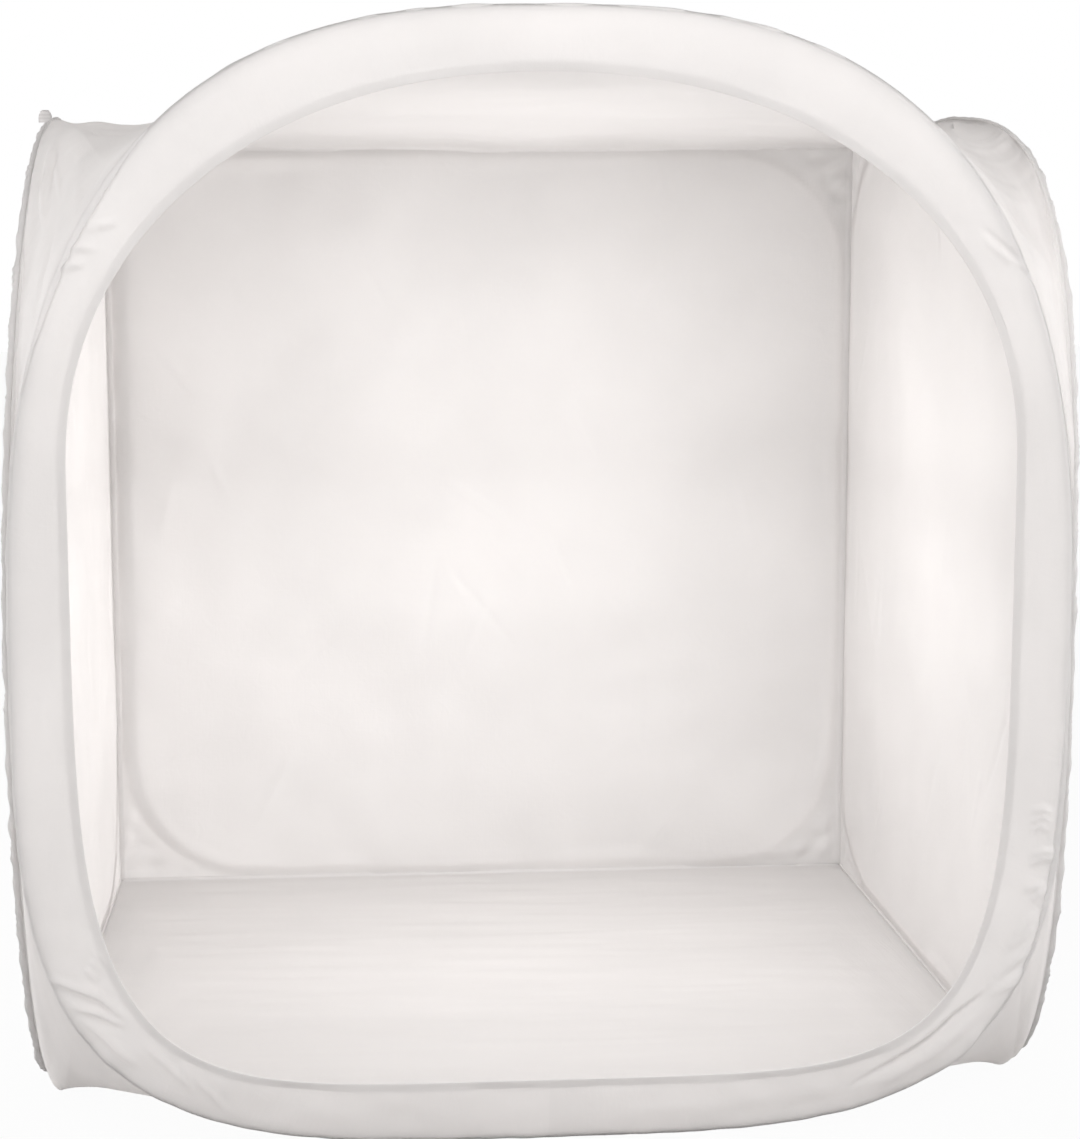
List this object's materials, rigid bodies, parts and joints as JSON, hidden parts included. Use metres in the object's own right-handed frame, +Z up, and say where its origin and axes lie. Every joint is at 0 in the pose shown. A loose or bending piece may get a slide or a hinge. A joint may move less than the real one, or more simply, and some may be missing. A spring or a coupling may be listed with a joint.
{
  "type": "light tent cube",
  "caption": "Pop-up white fabric light tent cube on spring-steel hoops in sewn sleeves, with a large rounded opening in its front; folds flat.",
  "frame": {"origin": "on the floor under the middle of the tent's bounding box", "axes": "+Z up; the opening faces -Y; the back wall is at +Y"},
  "size_m": [1.6234, 1.54, 1.72],
  "materials": {
    "diffusion_cloth": "white translucent woven nylon",
    "sleeve_cloth": "white woven nylon, doubled and gathered",
    "seam_tape": "white woven binding tape",
    "spring_steel": "blued, lightly oiled",
    "crimped_steel": "zinc plated"
  },
  "bodies": {
    "back_panel": {"back_wall": "diffusion_cloth", "back_channel": "sleeve_cloth", "back_hoop": "spring_steel", "back_ferrule": "crimped_steel", "back_seam_left": "seam_tape", "back_seam_right": "seam_tape", "back_seam_top": "seam_tape", "back_seam_bottom": "seam_tape", "roof_panel": "diffusion_cloth", "floor_panel": "diffusion_cloth"},
    "left_rear": {"left_wall_rear": "diffusion_cloth", "left_channel_rear": "sleeve_cloth", "left_hoop_rear": "spring_steel", "left_ferrule": "crimped_steel"},
    "left_front": {"left_wall_front": "diffusion_cloth", "left_channel_front": "sleeve_cloth", "left_hoop_front": "spring_steel", "corner_loop": "seam_tape"},
    "right_rear": {"right_wall_rear": "diffusion_cloth", "right_channel_rear": "sleeve_cloth", "right_hoop_rear": "spring_steel", "right_ferrule": "crimped_steel"},
    "right_front": {"right_wall_front": "diffusion_cloth", "right_channel_front": "sleeve_cloth", "right_hoop_front": "spring_steel"},
    "front_ring": {"front_band": "diffusion_cloth", "front_channel": "sleeve_cloth", "front_hoop": "spring_steel", "front_ferrule": "crimped_steel", "opening_hem": "seam_tape"}
  },
  "joints": [
    {"name": "fold", "type": "hinge", "parent": "back_panel", "child": "left_rear", "pos_m": [-0.75, 0.7555, 0], "axis": [0, 0, 1], "range_deg": [0, 80], "stiffness_Nm_per_rad": 1.5, "deforming": ["roof_panel", "floor_panel"]},
    {"name": "left_crease", "type": "hinge", "parent": "left_rear", "child": "left_front", "pos_m": [-0.79735, 0.02064, 0], "axis": [0, 0, 1], "range_deg": [-160, 0]},
    {"name": "left_corner", "type": "hinge", "parent": "left_front", "child": "front_ring", "pos_m": [-0.798, -0.756, 0], "axis": [0, 0, 1], "range_deg": [0, 80]},
    {"name": "right_fold", "type": "hinge", "parent": "back_panel", "child": "right_rear", "pos_m": [0.75, 0.7555, 0], "axis": [0, 0, 1], "range_deg": [-80, 0]},
    {"name": "right_crease", "type": "hinge", "parent": "right_rear", "child": "right_front", "pos_m": [0.79735, 0.02064, 0], "axis": [0, 0, 1], "range_deg": [0, 160]}
  ],
  "couplings": [
    {"joint": "left_crease", "follows": "fold", "ratio": -2},
    {"joint": "left_corner", "follows": "fold", "ratio": 1},
    {"joint": "right_fold", "follows": "fold", "ratio": -1},
    {"joint": "right_crease", "follows": "fold", "ratio": 2}
  ]
}
